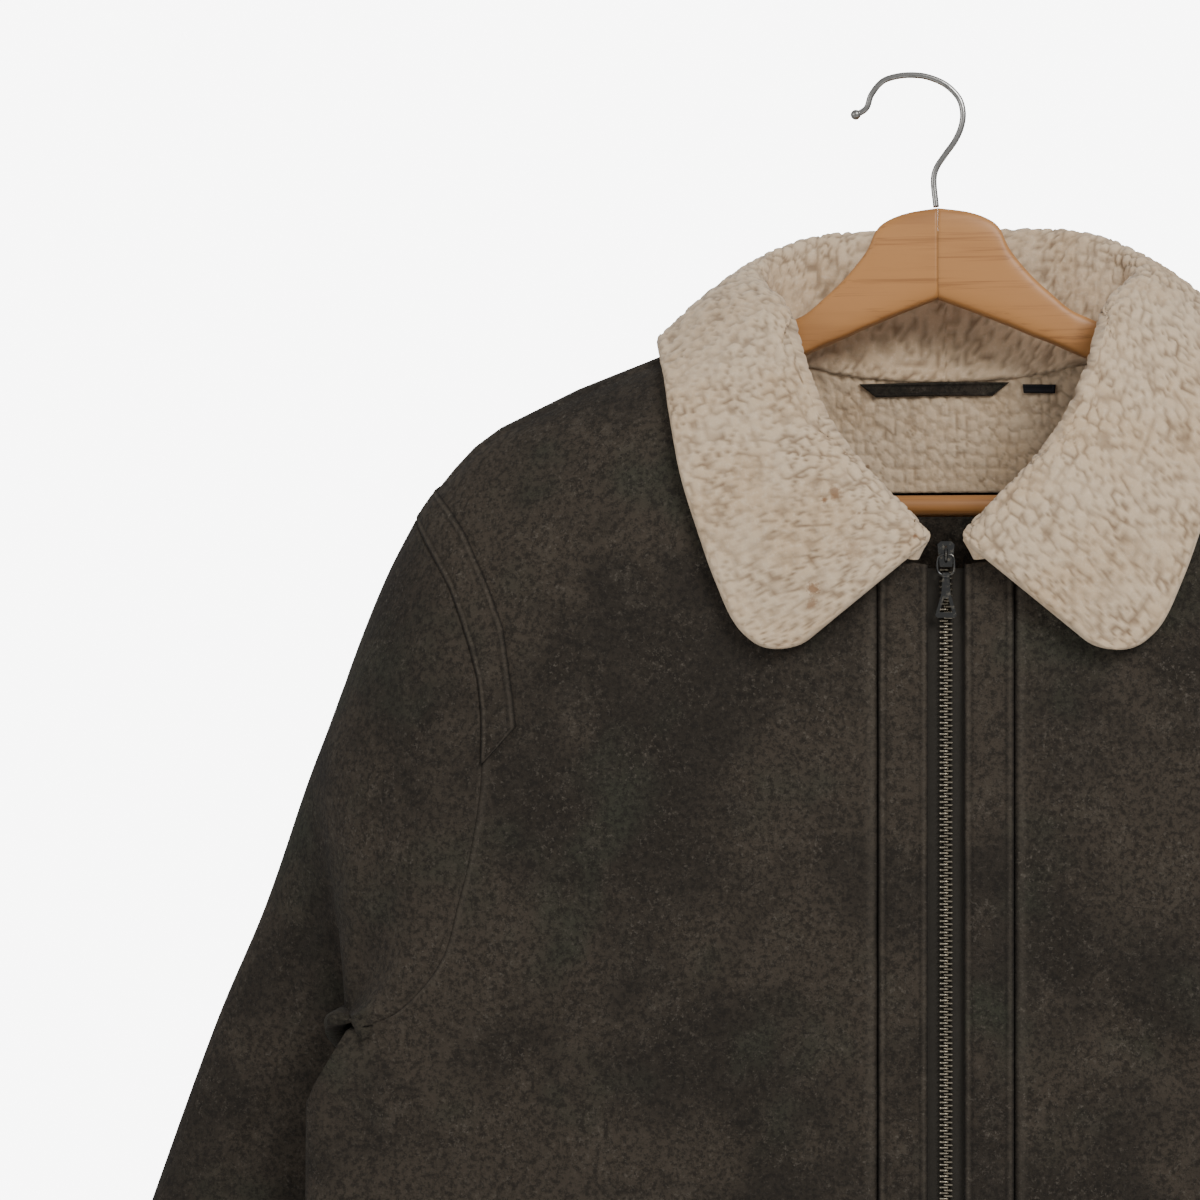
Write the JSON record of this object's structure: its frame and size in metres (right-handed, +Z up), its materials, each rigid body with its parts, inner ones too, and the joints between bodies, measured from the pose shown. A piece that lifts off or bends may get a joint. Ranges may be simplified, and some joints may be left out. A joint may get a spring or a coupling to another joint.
{
  "type": "shearling leather jacket on a wooden hanger",
  "caption": "Dark suede jacket with a cream pile collar and a front zip, hanging from a wooden hanger with a trouser bar.",
  "frame": {"origin": "point inside the hook's bend that rests on what carries the hanger", "axes": "+Z up, -Y the jacket's front, +X the viewer's right"},
  "size_m": [0.982, 0.1444, 0.8619],
  "materials": {
    "suede": "matte, napped",
    "shearling": "curly pile",
    "zip_tape": "woven, matte",
    "zip_metal": "antiqued",
    "label_cloth": "woven, matte",
    "hanger_wood": "satin varnish",
    "hook_steel": "dark, polished"
  },
  "bodies": {
    "jacket_and_hanger": {"front_left": "suede", "front_right": "suede", "back": "suede", "sleeve_left": "suede", "sleeve_right": "suede", "armhole_band_left": "suede", "armhole_band_right": "suede", "placket_left": "suede", "placket_right": "suede", "zip_tape_left": "zip_tape", "zip_tape_right": "zip_tape", "zip_chain": "zip_metal", "zip_slider": "zip_metal", "collar": "shearling", "neck_yoke": "shearling", "hang_loop": "suede", "size_tab": "label_cloth", "hanger_arm_left": "hanger_wood", "hanger_arm_right": "hanger_wood", "trouser_bar": "hanger_wood", "hanger_hook": "hook_steel"},
    "ring": {"pull_ring": "zip_metal"},
    "tab": {"pull_tab": "zip_metal"}
  },
  "joints": [
    {"name": "ring_swing", "type": "hinge", "parent": "jacket_and_hanger", "child": "ring", "pos_m": [0.014, -0.06044, -0.238], "axis": [-1, 0, 0], "range_deg": [0, 110]},
    {"name": "tab_swing", "type": "hinge", "parent": "ring", "child": "tab", "pos_m": [0.014, -0.06044, -0.2478], "axis": [-1, 0, 0], "range_deg": [0, 50]}
  ]
}
